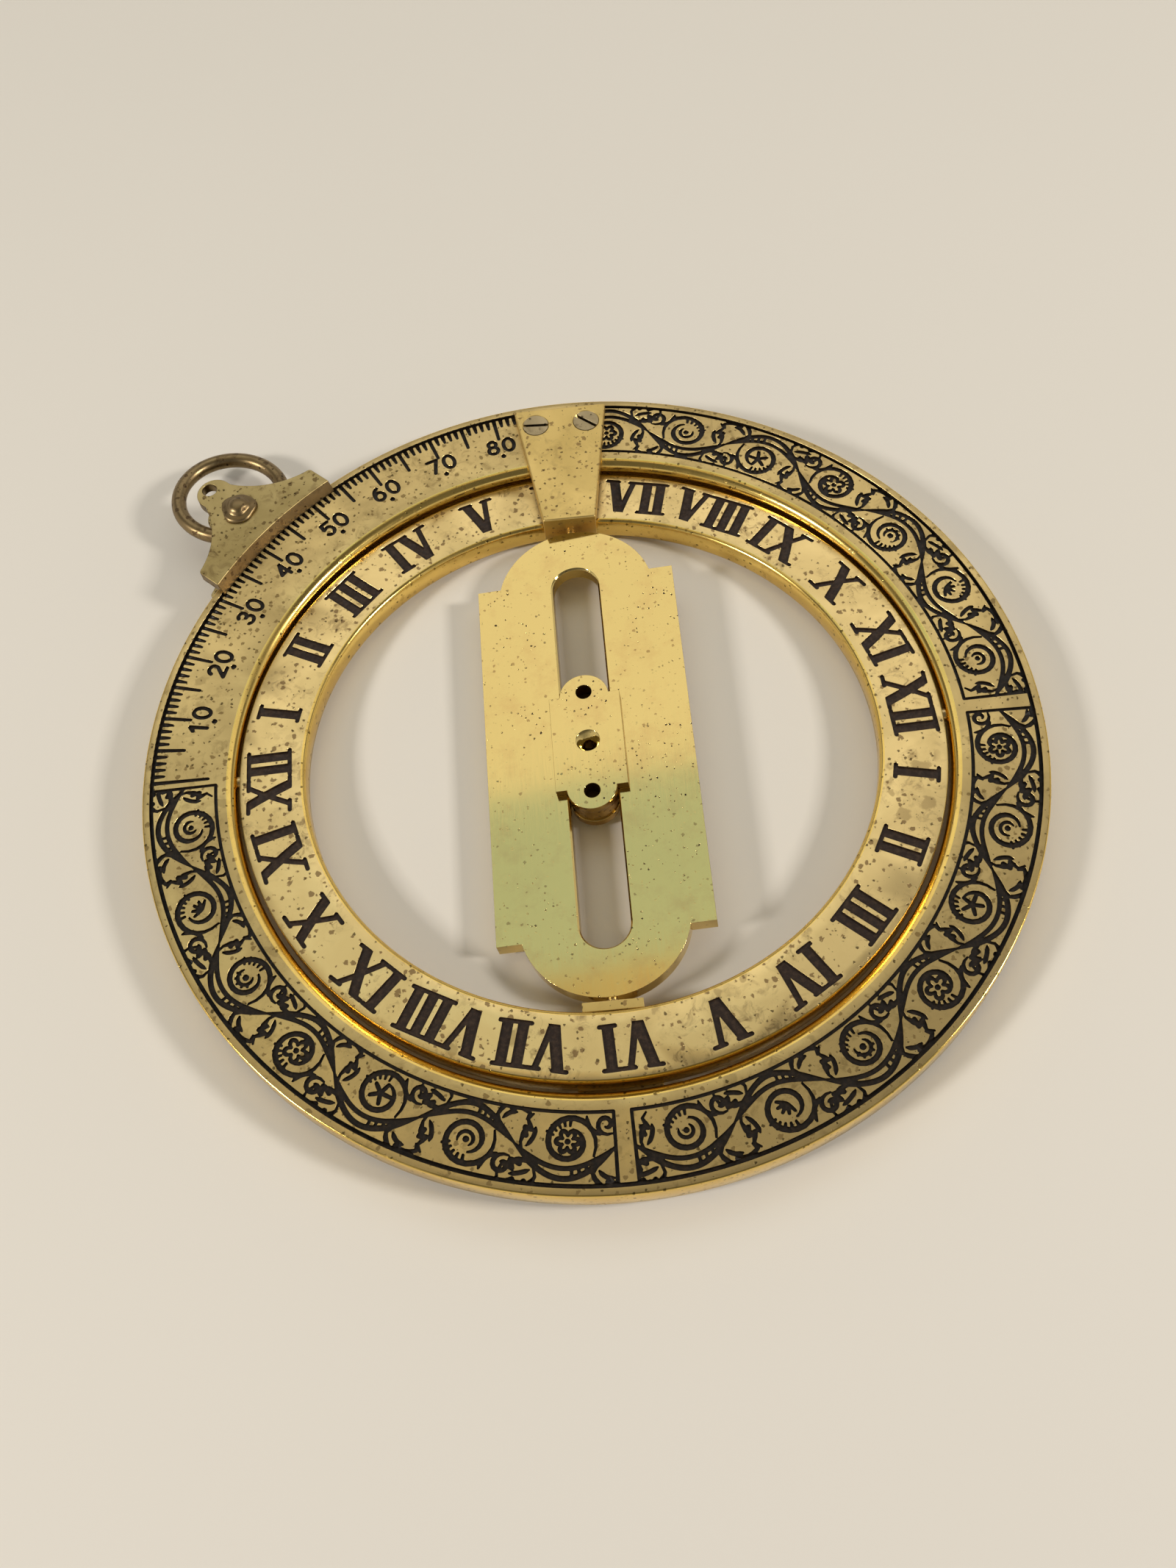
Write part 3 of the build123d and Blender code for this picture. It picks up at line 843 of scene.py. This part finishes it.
# ---- Hour ring ----
# A plain ring turned to fit inside the first, with its inner edge rounded over and polished. The
# hours are etched twice round its face, 15 degrees apart, and filled dark brown.
hour_rim, hour_bore = 41.1, 33.4
hour_top = 1.55
hour_open = 2.2  # degrees that it stands open
hour_flare = 0.55
numeral_line = 37.6  # the numerals' middles, from the centre
hour_cuts = Cuts(34.2, 40.9, numeral_line)
numeral_half = 2.65  # half of a numeral's height
stem = 1.24
serif_stroke = 0.54
serif_line = numeral_half - 0.24
letter_overlap = 0.08  # by which the letters in a numeral run into each other
double_i_pitch = 1.7


def serif(x, y, half):
    """A short level cut across a limb's end."""
    return ("stroke", [(x - half, y), (x + half, y)], serif_stroke)


def bar(top, bottom, width):
    """A straight limb between two spots on its middle line, cut off level at both ends."""
    w = width / 2
    upper = [(top - w, numeral_half), (top + w, numeral_half)]
    return ("block", upper + [(bottom + w, -numeral_half), (bottom - w, -numeral_half)])


# each letter: its limbs, and how far it reaches to each side of its middle
letters = {
    "I": ([bar(0, 0, stem), serif(0, serif_line, 0.84), serif(0, -serif_line, 0.84)], 1.08),
    "V": (
        [bar(-1.25, 0.0, 1.32), bar(1.35, 0.22, 0.76)]
        + [serif(x, serif_line, half) for x, half in ((-1.35, 0.72), (1.45, 0.62))],
        2.2,
    ),
    "X": (
        [bar(-1.3, 1.35, 1.40), bar(1.4, -1.5, 0.80)]
        + [serif(x, serif_line, 0.68) for x in (-1.5, 1.55)]
        + [serif(x, -serif_line, 0.68) for x in (1.55, -1.62)],
        2.42,
    ),
}
hour_names = ("XII", "XI", "X", "IX", "VIII", "VII", "VI", "V", "IV", "III", "II", "I")
# degrees that each numeral's middle stands past its hour's 15 degree place
hour_shifts = (1.7, 1.5, 1.5, 1.3, 1.3, 1.6, 2.2, 2.6, 2.7, 2.7, 2.6, 2.3)
for start in (180, 0):
    for place, (name, shift) in enumerate(zip(hour_names, hour_shifts)):
        spots, pen = [], 0.0
        for k, letter in enumerate(name):
            reach = letters[letter][1]
            if k and name[k - 1 : k + 1] == "II":
                pen += double_i_pitch
            elif k:
                pen += letters[name[k - 1]][1] + reach - letter_overlap
            spots.append(pen)
        middle = (spots[0] - letters[name[0]][1] + spots[-1] + letters[name[-1]][1]) / 2
        for letter, spot in zip(name, spots):
            for limb in letters[letter][0]:
                shifted = [(x + spot - middle, y) for x, y in limb[1]]
                line = facing_out(hour_cuts, start + 15 * place + shift, numeral_line, shifted)
                if limb[0] == "stroke":
                    hour_cuts.stroke(line, limb[2])
                else:
                    hour_cuts.block(line)

hour_brass = worn_brass(
    "hour_brass",
    (0.93, 0.71, 0.32),
    (0.82, 0.62, 0.27),
    (0.28, 0.18, 0.08),
    blotches=0.85,
    specks=0.85,
    roughness=0.34,
)
brown_enamel = dark_fill("brown_enamel", (0.022, 0.012, 0.008), (0.06, 0.035, 0.02))
hour_face_in, hour_face_out = hour_bore + hour_flare, hour_rim - 0.12
hour_face = etched_face(hour_cuts, hour_face_in, hour_face_out, hour_top, lambda r: cut_depth)
hour_bore_profile = [
    (hour_face_in, hour_top),
    (hour_bore + 0.3, hour_top - 0.07),
    (hour_bore + 0.1, hour_top - 0.24),
    (hour_bore, hour_top - 0.5),
]
hour_bore_wall = turned(*both_faces(hour_bore_profile))
hour_rim_profile = [
    (hour_face_out, hour_top),
    (hour_rim - 0.03, hour_top - 0.04),
    (hour_rim, hour_top - 0.12),
]
hour_rim_wall = turned(*both_faces(hour_rim_profile))
hour_back = turned([(hour_face_in, -hour_top), (hour_face_out, -hour_top)], [0])
hours = piece_from(
    "hour_ring_etched",
    [hour_face, hour_bore_wall, hour_rim_wall, hour_back],
    [hour_brass, brown_enamel, bore_brass],
    tilt=-hour_open,
)
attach(hours, "hour_ring")
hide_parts("hour_ring")

# ---- Hour ring's hinge pins ----
# Two plain brass rods, driven into holes drilled through the thick ring at its west and east
# points. Their inner ends stand in the hour ring's XIIs, and it turns on them.
rod_brass = worn_brass(
    "rod_brass",
    (0.74, 0.58, 0.30),
    (0.60, 0.46, 0.22),
    (0.28, 0.18, 0.08),
    blotches=0.3,
    roughness=0.3,
)


def finish_node(node, material):
    """Gives a solid that keeps its own shape its material."""
    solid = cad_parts[node]
    solid.data.materials.clear()
    solid.data.materials.append(material)


for node in ("west_hour_pin", "east_hour_pin"):
    finish_node(node, rod_brass)


# ---- Pole tabs ----
# Two tapered strips of brass plate, filed by hand, one screwed to each face. The inner end is
# turned down between the rings to hold the bridge's pivot.
def eased(node, name, ease, material, segments=2):
    """A copy of a plate's solid with its edges filed off, ease mm wide."""
    shape = bmesh.new()
    shape.from_mesh(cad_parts[node].data)
    bmesh.ops.remove_doubles(shape, verts=shape.verts, dist=0.0005 * MM)
    bmesh.ops.dissolve_limit(
        shape, angle_limit=radians(0.6), verts=shape.verts, edges=shape.edges, delimit={"NORMAL"}
    )
    folds = [e for e in shape.edges if len(e.link_faces) == 2]
    corners = [e for e in folds if e.calc_face_angle() > radians(28)]
    bmesh.ops.bevel(
        shape,
        geom=corners,
        offset=ease * MM,
        segments=segments,
        profile=0.5,
        affect="EDGES",
        clamp_overlap=True,
    )
    for face in shape.faces:
        face.smooth = True
        face.material_index = 0
    mesh = bpy.data.meshes.new(name)
    shape.to_mesh(mesh)
    shape.free()
    mesh.set_sharp_from_angle(angle=radians(50))
    mesh.materials.append(material)
    piece = bpy.data.objects.new(name, mesh)
    bpy.context.scene.collection.objects.link(piece)
    even = piece.modifiers.new("even_normals", "WEIGHTED_NORMAL")
    even.keep_sharp = True
    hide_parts(node)
    return piece


tab_brass = worn_brass(
    "tab_brass",
    (0.82, 0.60, 0.22),
    (0.74, 0.54, 0.19),
    (0.32, 0.20, 0.08),
    blotches=0.35,
    roughness=0.40,
)
for side in ("front", "rear"):
    tab = eased(f"{side}_pole_tab", f"{side}_tab_filed", 0.07, tab_brass)
    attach(tab, "meridian")

# ---- Tab screws ----
# Four small countersunk brass screws with sawn slots, two through each tab into the ring's
# metal. They have gone dull, and their slots and the rims round their heads are coloured near
# black: painted shade.
screw_ease = 0.06
head_height = 0.9  # the part of a screw that is its head
head_fit = 0.955  # a head is this much of its seat, so it sits a hair loose
shade_line = 0.10  # below the head's face, all is coloured near black, a painted shade
screw_brass = worn_brass(
    "screw_brass",
    (0.56, 0.45, 0.27),
    (0.44, 0.35, 0.20),
    (0.22, 0.16, 0.09),
    roughness=0.44,
    specks=0.5,
)
# near black, for the screws' slots, the rims round their heads and their ends in the holes:
# painted shade
recess_shade = worn_brass(
    "recess_shade", (0.10, 0.07, 0.04), (0.05, 0.035, 0.02), (0.02, 0.015, 0.01), roughness=0.6
)
for tab in ("front", "rear"):
    for side in ("left", "right"):
        node = f"{tab}_tab_screw_{side}"
        screw = eased(node, node + "_head", screw_ease, screw_brass)
        low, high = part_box(node)
        middle = (low + high) / 2
        outer = high.z if abs(high.z) > abs(low.z) else low.z
        for point in screw.data.vertices:
            if abs(outer - point.co.z) < head_height * MM:
                point.co.x = middle.x + (point.co.x - middle.x) * head_fit
                point.co.y = middle.y + (point.co.y - middle.y) * head_fit
        screw.data.materials.append(recess_shade)
        # faces below the head's face take the near-black colour: painted shade in the slot and
        # round the head
        for face in screw.data.polygons:
            if abs(outer - face.center.z) > shade_line * MM:
                face.material_index = 1
        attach(screw, "meridian")

# ---- Polar pins ----
# Two thin brass rods pressed into the tabs' turned-down ends, one at each pole. The bridge's
# ends are drilled for them, and it turns on them.
for node in ("north_polar_pin", "south_polar_pin"):
    finish_node(node, rod_brass)

# ---- Bridge ----
# A flat plate lapped bright, with square shoulders, rounded ends and a long slot. Its polish has
# small dark pits and hair scratches.
polish = Nodes("polished_brass")
tone = polish.noise(26.0, detail=3.0)
warm = polish.ramp(polish.noise(4.0, detail=8.0, rough=0.7), ((0.50, 0.0), (0.72, 0.40)))
shine = polish.blend(tone, (0.82, 0.63, 0.24), (0.72, 0.55, 0.20))
shine = polish.blend(warm, shine, (0.60, 0.36, 0.14))
freckles = polish.ramp(polish.spots(0.75, 0.50, few=4.0), ((0.0, 0.0), (1.0, 0.55)))
shine = polish.blend(freckles, shine, (0.22, 0.11, 0.04))
patchy = polish.ramp(polish.noise(6.0, detail=2.0), ((0.46, 0.10), (0.62, 1.0)))
pinpricks = polish.blend(1.0, polish.spots(0.42, 0.32, few=3.2), patchy, "MULTIPLY")
shine = polish.blend(pinpricks, shine, (0.04, 0.03, 0.02))
lines_along = polish.add(
    "ShaderNodeMapping",
    {"Vector": polish.place, "Scale": (1.0, 0.03, 1.0), "Rotation": (0, 0, 0.25)},
).outputs["Vector"]
hairlines = polish.noise(0.10, detail=2.0, place=lines_along)
lapping = polish.bump(hairlines, 0.0012, 0.5)
lapping = polish.bump(polish.noise(7.0, detail=3.0), 0.02, 0.25, under=lapping)
polished_brass = polish.finish(
    Base_Color=shine,
    Metallic=1.0,
    Roughness=polish.ramp(hairlines, ((0.35, 0.06), (0.75, 0.13))),
    Normal=polish.bump(pinpricks, -0.04, 0.7, under=lapping),
)
bridge = eased("bridge", "bridge_lapped", 0.20, polished_brass, segments=3)
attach(bridge, "bridge")

# ---- Cursor ----
# Two small polished plates, one on each face of the bridge, screwed together through its slot.
# The front one has the countersunk pinhole between the two tapped holes.
# dark brown for the cursor plates' side walls: painted shade, which draws a dark line round each
# plate
cursor_edge_shade = worn_brass(
    "cursor_edge_shade",
    (0.50, 0.32, 0.09),
    (0.38, 0.23, 0.06),
    (0.10, 0.06, 0.02),
    blotches=0.7,
    roughness=0.26,
)
for side in ("front", "back"):
    name = f"cursor_{side}_lapped"
    plate = eased(f"cursor_{side}_plate", name, 0.15, polished_brass, segments=3)
    plate.data.materials.append(cursor_edge_shade)
    # the side walls take the dark brown: painted shade
    for face in plate.data.polygons:
        if abs(face.normal.z) < 0.4:
            face.material_index = 1
    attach(plate, "cursor")
# the screws come in from the back, and their ends are short of the front and coloured near black,
# a painted shade in the tapped holes
end_tip = 0.5
end_sunk = 0.9
end_shade = 2.0
for node in ("cursor_screw_upper", "cursor_screw_lower"):
    screw = eased(node, node + "_filed", 0.05, screw_brass)
    screw.data.materials.append(recess_shade)
    front_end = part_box(node)[1].z
    for point in screw.data.vertices:
        if point.co.z > front_end - end_tip * MM:
            point.co.z -= end_sunk * MM
    # the ends near the front take the near-black colour: painted shade in the holes
    for face in screw.data.polygons:
        if face.center.z > front_end - end_shade * MM:
            face.material_index = 1
    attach(screw, "cursor")

# ---- Shackle ----
# Two bell-shaped halves of thicker brass, darkened, hooked into the rim's two slots and riveted
# together beyond it.
# dark bronze: the rivet's and the wire's own colour, and a painted shade on the shackle halves'
# side walls
bronze_and_wall_shade = worn_brass(
    "bronze_and_wall_shade",
    (0.30, 0.22, 0.11),
    (0.22, 0.15, 0.07),
    (0.10, 0.06, 0.03),
    blotches=0.8,
    roughness=0.36,
    grain=0.7,
)
shackle_brass = worn_brass(
    "shackle_brass",
    (0.56, 0.44, 0.20),
    (0.42, 0.32, 0.13),
    (0.16, 0.10, 0.04),
    blotches=0.85,
    roughness=0.42,
    grain=0.6,
)
for side in ("front", "rear"):
    half = eased(f"shackle_{side}", f"shackle_{side}_filed", 0.22, shackle_brass, segments=3)
    half.data.materials.append(bronze_and_wall_shade)
    # the halves' side walls take the dark bronze: painted shade
    for face in half.data.polygons:
        if abs(face.normal.z) < 0.5:
            face.material_index = 1
    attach(half, "shackle")

# ---- Rivet ----
# A soft brass rivet, which holds the halves and carries the wire ring. Its head is hammered to a
# low dome on a wide lumpy skirt, and its other end is spread flush into the rear half.
rivet_low, rivet_high = (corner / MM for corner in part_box("shackle_rivet"))
rivet_middle = (rivet_low + rivet_high) / 2
head_rise = 1.3
skirt = rivet_high.z - head_rise
shank = 0.75
rivet_steps = 64
rivet_profile = [
    (0.0, rivet_low.z),
    (1.5, rivet_low.z),
    (shank, rivet_low.z + 0.8),
    (shank, skirt),
    (2.18, skirt),
    (2.26, skirt + 0.12),
    (2.20, skirt + 0.32),
    (1.95, skirt + 0.46),
    (1.60, skirt + 0.50),
    (1.42, skirt + 0.60),
    (1.30, skirt + 0.85),
    (1.05, skirt + 1.08),
    (0.70, skirt + 1.22),
    (0.35, skirt + 1.285),
    (0.0, skirt + head_rise),
]
finishes = [0] * (len(rivet_profile) - 1)
rivet_points, rivet_faces = turned(rivet_profile, finishes, steps=rivet_steps)
hammered = []
for number, (x, y, z) in enumerate(rivet_points):
    turn = 2 * pi * (number % rivet_steps) / rivet_steps
    on_skirt = z > skirt - 0.01 and hypot(x, y) > 1.1
    lump = 1 + (0.05 * sin(3 * turn + 0.6) + 0.03 * sin(5 * turn + 2 * z)) * on_skirt
    dent = 0.05 * sin(2 * turn + 1.0) * (skirt + 0.2 < z < skirt + 0.7)
    hammered.append((rivet_middle.x + x * lump, rivet_middle.y + y * lump, z + dent))
rivet = piece_from("hammered_rivet", [(hammered, rivet_faces)], [bronze_and_wall_shade], sharp=50)
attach(rivet, "rivet")
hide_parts("shackle_rivet")

# ---- Suspension ring ----
# Round brass wire bent into a ring round the rivet's shank, with its ends butted together. It
# lies between the shackle's halves, and the dial hangs from it.
finish_node("suspension_ring", bronze_and_wall_shade)
